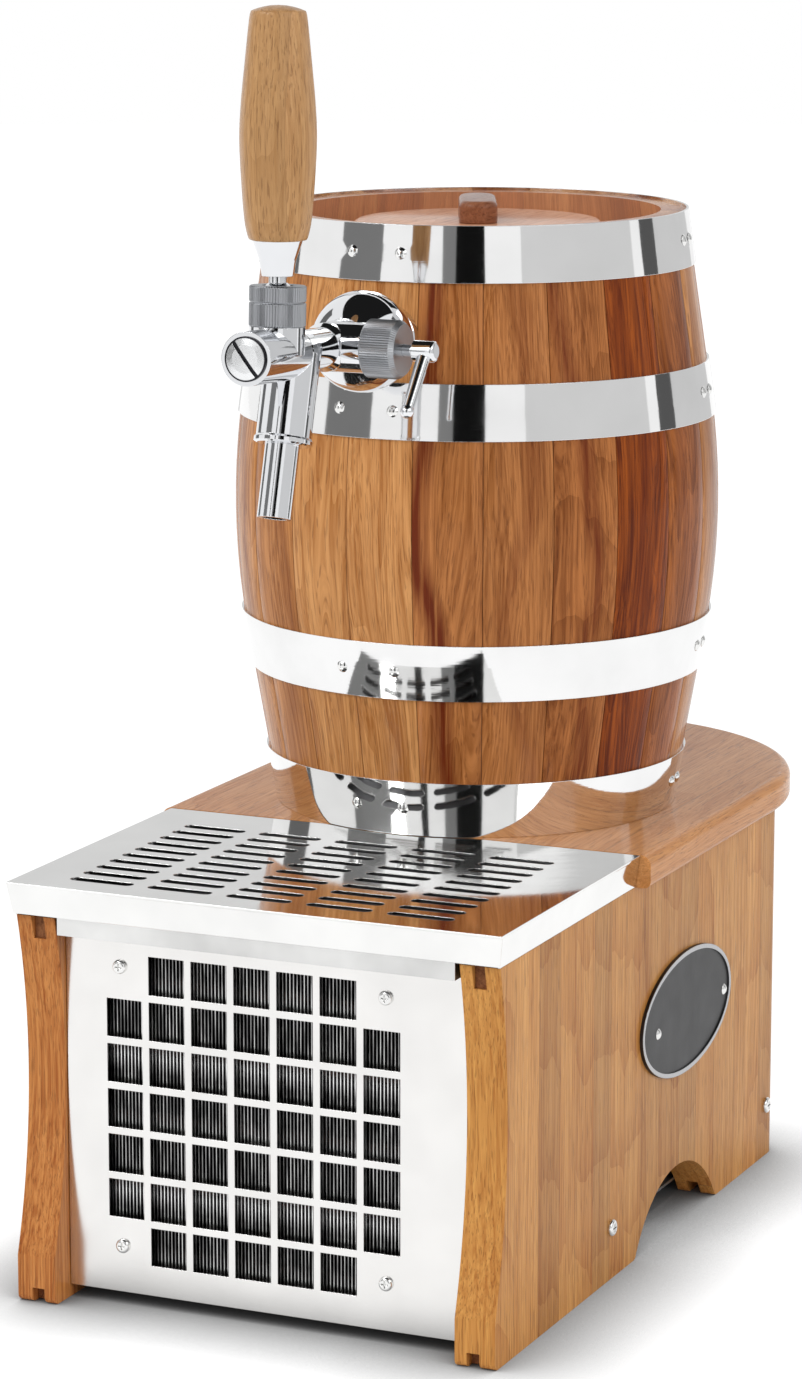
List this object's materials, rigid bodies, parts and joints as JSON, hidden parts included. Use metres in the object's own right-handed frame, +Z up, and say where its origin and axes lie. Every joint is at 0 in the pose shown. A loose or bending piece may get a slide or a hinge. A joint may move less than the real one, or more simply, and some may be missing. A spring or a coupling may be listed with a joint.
{
  "type": "draft beer dispenser",
  "caption": "Counter-top draft beer dispenser: a wooden barrel with a chrome tap stands on a wooden cabinet that holds the chiller, with a pull-out drip tray in front",
  "frame": {"origin": "middle of the footprint, on the surface that the cabinet stands on", "axes": "+Z up, -Y towards the person who pours, +X to that person's right"},
  "size_m": [0.2874, 0.5282, 0.6706],
  "materials": {
    "cabinet_wood": "honey oak with a satin varnish",
    "board_wood": "orange oak with a satin varnish",
    "barrel_wood": "orange brown varnished oak",
    "lid_wood": "light reddish wood",
    "grip_wood": "light oak, varnished",
    "polished_steel": "mirror polished stainless steel",
    "tap_chrome": "mirror chrome",
    "plain_steel": "brushed stainless steel",
    "sheet_metal": "grey coated sheet steel",
    "black_metal": "matt black paint",
    "copper": "bare copper",
    "block_metal": "cast aluminium",
    "foam": "rigid foam",
    "black_plastic": "black moulded plastic",
    "hose": "food hose",
    "soft_rubber": "black rubber",
    "nameplate_metal": "dark brushed steel"
  },
  "bodies": {
    "cabinet": {"side_panel_left": "cabinet_wood", "side_panel_right": "cabinet_wood", "base_board": "board_wood", "barrel_staves": "barrel_wood", "barrel_bottom_head": "barrel_wood", "barrel_top_head": "barrel_wood", "front_plate": "polished_steel", "barrel_hoops": "polished_steel", "dome_rivets": "polished_steel", "side_screws": "polished_steel", "sheet_screws": "polished_steel", "tap_body": "tap_chrome", "tap_flange": "tap_chrome", "front_plug": "tap_chrome", "collar_nut": "tap_chrome", "compensator_cap": "tap_chrome", "spout": "tap_chrome", "spout_nozzle": "tap_chrome", "shank": "plain_steel", "shank_nut": "plain_steel", "shank_washer": "plain_steel", "barrel_screws": "plain_steel", "floor_pan": "sheet_metal", "rear_panel": "sheet_metal", "fan_bracket": "sheet_metal", "condenser_frame": "black_metal", "condenser_fins": "black_metal", "fan_shroud": "black_metal", "compressor": "black_metal", "condenser_tubes": "copper", "refrigerant_lines": "copper", "filter_drier": "copper", "cooling_block": "block_metal", "block_insulation": "foam", "fan_motor": "black_plastic", "thermostat_body": "black_plastic", "rocker_frame": "black_plastic", "power_inlet": "black_plastic", "top_splines": "black_plastic", "beer_lines": "hose", "beer_inlet": "hose", "compressor_mounts": "soft_rubber", "foot_strips": "soft_rubber", "nameplate": "nameplate_metal"},
    "pan": {"drip_pan": "plain_steel"},
    "cover": {"drip_cover": "polished_steel"},
    "lid": {"barrel_lid": "lid_wood", "lid_knob": "lid_wood"},
    "handle": {"lever": "tap_chrome", "handle_ferrule": "tap_chrome", "handle_grip": "grip_wood"},
    "valve": {"valve_shaft": "plain_steel", "valve_seal": "black_plastic"},
    "side_lever": {"compensator_lever": "tap_chrome", "compensator_shaft": "tap_chrome"},
    "cone": {"compensator_cone": "black_plastic"},
    "fan": {"fan_rotor": "black_plastic"},
    "thermostat": {"thermostat_knob": "black_plastic"},
    "switch": {"rocker": "black_plastic"}
  },
  "joints": [
    {"name": "pan_slide", "type": "slide", "parent": "cabinet", "child": "pan", "axis": [0, -1, 0], "range_m": [0, 0.18]},
    {"name": "cover_slide", "type": "slide", "parent": "pan", "child": "cover", "axis": [0, -1, 0], "range_m": [0, 0.15]},
    {"name": "lid_lift", "type": "slide", "parent": "cabinet", "child": "lid", "axis": [0, 0, 1], "range_m": [0, 0.08]},
    {"name": "handle_hinge", "type": "hinge", "parent": "cabinet", "child": "handle", "pos_m": [0, -0.22562, 0.528], "axis": [1, 0, 0], "range_deg": [-12, 22]},
    {"name": "valve_slide", "type": "slide", "parent": "cabinet", "child": "valve", "axis": [0, 0.9988, -0.0489], "range_m": [-0.0037, 0.0067]},
    {"name": "side_lever_hinge", "type": "hinge", "parent": "cabinet", "child": "side_lever", "pos_m": [0.03, -0.16205, 0.49582], "axis": [1, 0, 0], "range_deg": [0, 90]},
    {"name": "cone_slide", "type": "slide", "parent": "cabinet", "child": "cone", "axis": [0, 0.9988, -0.0489], "range_m": [0, 0.0031]},
    {"name": "fan_spin", "type": "hinge", "parent": "cabinet", "child": "fan", "pos_m": [-0.005, -0.18812, 0.1], "axis": [0, 1, 0], "continuous": true},
    {"name": "thermostat_turn", "type": "hinge", "parent": "cabinet", "child": "thermostat", "pos_m": [-0.075, 0.14788, 0.17], "axis": [0, 1, 0], "range_deg": [-135, 135]},
    {"name": "switch_rock", "type": "hinge", "parent": "cabinet", "child": "switch", "pos_m": [0.045, 0.14288, 0.17], "axis": [0, 0, 1], "range_deg": [-8, 8]}
  ],
  "couplings": [
    {"joint": "valve_slide", "follows": "handle_hinge", "m_per_rad": 0.017},
    {"joint": "cone_slide", "follows": "side_lever_hinge", "m_per_rad": 0.0019}
  ]
}
